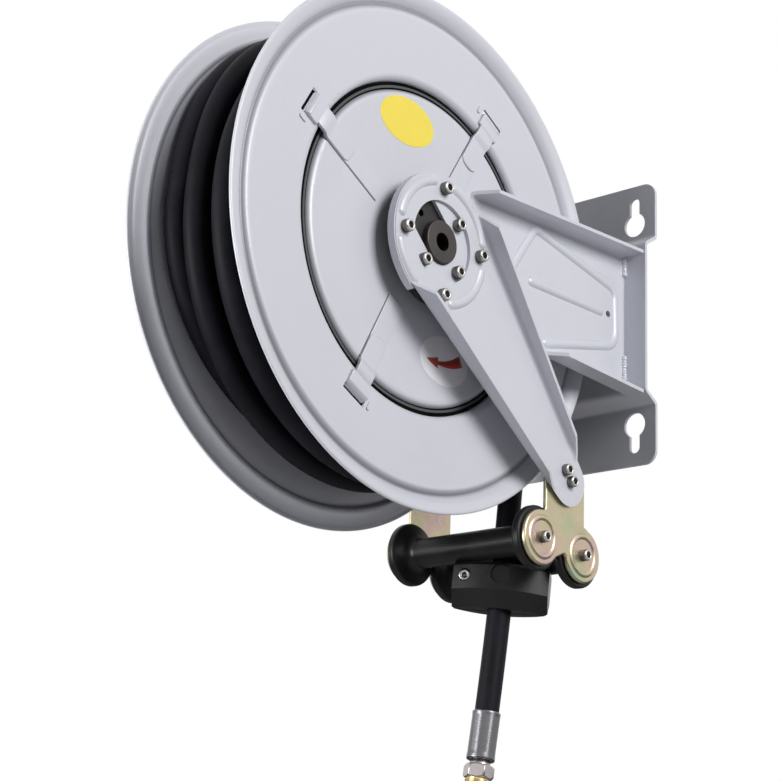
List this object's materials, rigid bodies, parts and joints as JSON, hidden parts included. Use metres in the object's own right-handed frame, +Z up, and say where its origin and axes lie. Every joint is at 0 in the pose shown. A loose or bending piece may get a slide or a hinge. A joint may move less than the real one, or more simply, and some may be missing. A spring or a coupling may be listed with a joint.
{
  "type": "fire hose reel",
  "caption": "Wall-mounted spring-rewind fire hose reel with pressed steel discs, roller hose guide, hose stop and screwed end fitting.",
  "frame": {"origin": "middle of the four wall-bolt holes, on the wall plane", "axes": "+X to the spring side of the drum, +Y into the wall, +Z up"},
  "size_m": [0.2096, 0.481, 0.6369],
  "materials": {
    "painted_steel": "smooth light grey powder coat",
    "black_steel": "black oxide on turned steel",
    "shaft_steel": "bright turned steel",
    "screw_steel": "zinc-plated socket screws",
    "zinc_yellow": "yellow-passivated zinc plate",
    "black_plastic": "black moulded nylon",
    "hose_rubber": "smooth black synthetic rubber cover",
    "seal_rubber": "black nitrile",
    "bearing_bronze": "sintered bronze",
    "brass": "machined brass",
    "spring_steel": "blued spring strip",
    "plated_steel": "zinc-nickel plated steel"
  },
  "bodies": {
    "frame": {"axle_screws_far": "screw_steel", "axle_screws_near": "screw_steel", "bracket_screws_far": "screw_steel", "bracket_screws_near": "screw_steel", "cap_screws_far": "screw_steel", "cap_screws_near": "screw_steel", "clamp_screws_far": "screw_steel", "clamp_screws_near": "screw_steel", "fitting_nut": "plated_steel", "fitting_thread": "brass", "guide_arm_far": "painted_steel", "guide_arm_near": "painted_steel", "hose_ferrule": "plated_steel", "hose_free": "hose_rubber", "hose_stop_back": "black_plastic", "hose_stop_front": "black_plastic", "hose_stop_screws": "screw_steel", "hose_turns": "hose_rubber", "hub_flange_far": "black_steel", "hub_flange_near": "black_steel", "inlet_union": "brass", "pawl_pivot": "shaft_steel", "roller_axle_front": "shaft_steel", "roller_axle_rear": "shaft_steel", "roller_bracket_far": "zinc_yellow", "roller_bracket_near": "zinc_yellow", "shaft": "shaft_steel", "support_arm_far": "painted_steel", "support_arm_near": "painted_steel", "wall_plate": "painted_steel"},
    "drum": {"disc_near": "painted_steel", "disc_far": "painted_steel", "barrel": "painted_steel", "spring_case": "painted_steel", "spring_cover": "painted_steel", "main_spring": "spring_steel", "cover_strap_1": "painted_steel", "cover_strap_2": "painted_steel", "cover_strap_3": "painted_steel", "cover_strap_4": "painted_steel", "bush_near": "bearing_bronze", "bush_far": "bearing_bronze", "swivel_body": "brass", "swivel_seals": "seal_rubber", "swivel_neck": "brass", "ratchet_ring": "painted_steel"},
    "pawl_lever": {"pawl": "zinc_yellow"},
    "front_roller": {"roller_front_near": "black_plastic", "roller_front_far": "black_plastic"},
    "rear_roller": {"roller_rear_near": "black_plastic", "roller_rear_far": "black_plastic"}
  },
  "joints": [
    {"name": "drum_spin", "type": "hinge", "parent": "frame", "child": "drum", "pos_m": [0.0044, -0.266, 0], "axis": [1, 0, 0], "continuous": true},
    {"name": "front_roller_spin", "type": "hinge", "parent": "frame", "child": "front_roller", "pos_m": [0, -0.13, -0.2135], "axis": [1, 0, 0], "continuous": true},
    {"name": "rear_roller_spin", "type": "hinge", "parent": "frame", "child": "rear_roller", "pos_m": [0, -0.0755, -0.2199], "axis": [1, 0, 0], "continuous": true},
    {"name": "pawl_swing", "type": "hinge", "parent": "frame", "child": "pawl_lever", "pos_m": [-0.0531, -0.2, 0.024], "axis": [1, 0, 0], "range_deg": [-14, 6], "stiffness_Nm_per_rad": 0.02}
  ]
}
